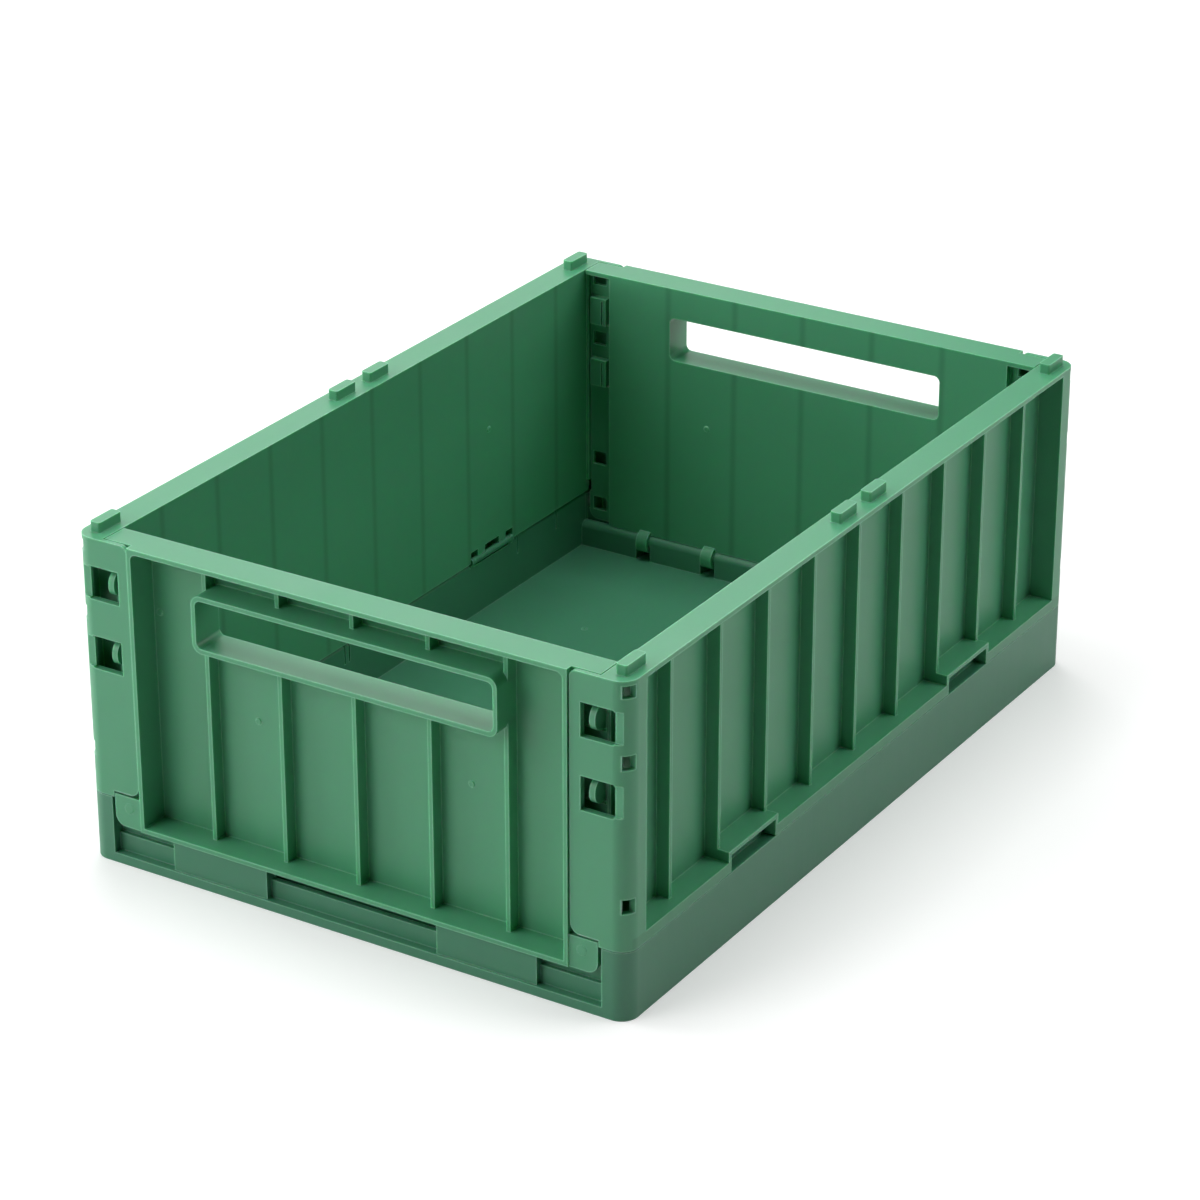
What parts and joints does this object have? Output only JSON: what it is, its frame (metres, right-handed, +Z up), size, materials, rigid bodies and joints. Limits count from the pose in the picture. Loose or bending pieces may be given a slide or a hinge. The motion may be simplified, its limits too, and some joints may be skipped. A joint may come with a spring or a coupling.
{
  "type": "collapsible storage crate",
  "caption": "Collapsible plastic storage crate: base tray, two long sides and two inward-folding end panels with hand slots, snap hooks and stacking studs.",
  "frame": {"origin": "centre of the footprint, on the floor", "axes": "+Z up, +Y along the length to the back end panel, +X to the right long side; the front end panel faces -Y"},
  "size_m": [0.275, 0.4016, 0.1588],
  "materials": {
    "base_plastic": "moulded polypropylene, fine grain, satin",
    "panel_plastic": "moulded polypropylene, fine grain, satin"
  },
  "bodies": {
    "crate": {"base_floor": "base_plastic", "base_floor_ribs": "base_plastic", "base_side_left": "base_plastic", "base_side_right": "base_plastic", "base_sill_front": "base_plastic", "base_sill_back": "base_plastic", "base_hinge_rail_front": "base_plastic", "base_hinge_rail_back": "base_plastic", "base_side_hinges_left": "base_plastic", "base_side_hinges_right": "base_plastic", "left_board": "panel_plastic", "left_rim": "panel_plastic", "left_bottom_flange": "panel_plastic", "left_ribs": "panel_plastic", "left_post_front": "panel_plastic", "left_post_back": "panel_plastic", "left_stacking_studs": "panel_plastic", "left_hinge_lugs": "panel_plastic", "left_corner_lips": "panel_plastic", "right_board": "panel_plastic", "right_rim": "panel_plastic", "right_bottom_flange": "panel_plastic", "right_ribs": "panel_plastic", "right_post_front": "panel_plastic", "right_post_back": "panel_plastic", "right_stacking_studs": "panel_plastic", "right_hinge_lugs": "panel_plastic", "right_corner_lips": "panel_plastic"},
    "front_end": {"front_board": "panel_plastic", "front_rim": "panel_plastic", "front_frame": "panel_plastic", "front_ribs": "panel_plastic", "front_hand_grip": "panel_plastic", "front_latch_strips": "panel_plastic", "front_snap_hooks": "panel_plastic", "front_hinge_lugs": "panel_plastic"},
    "back_end": {"back_board": "panel_plastic", "back_rim": "panel_plastic", "back_frame": "panel_plastic", "back_ribs": "panel_plastic", "back_hand_grip": "panel_plastic", "back_latch_strips": "panel_plastic", "back_snap_hooks": "panel_plastic", "back_hinge_lugs": "panel_plastic"}
  },
  "joints": [
    {"name": "front_end_fold", "type": "hinge", "parent": "crate", "child": "front_end", "pos_m": [0, -0.1855, 0.0155], "axis": [-1, 0, 0], "range_deg": [0, 93]},
    {"name": "back_end_fold", "type": "hinge", "parent": "crate", "child": "back_end", "pos_m": [0, 0.1855, 0.0155], "axis": [1, 0, 0], "range_deg": [0, 93]}
  ]
}
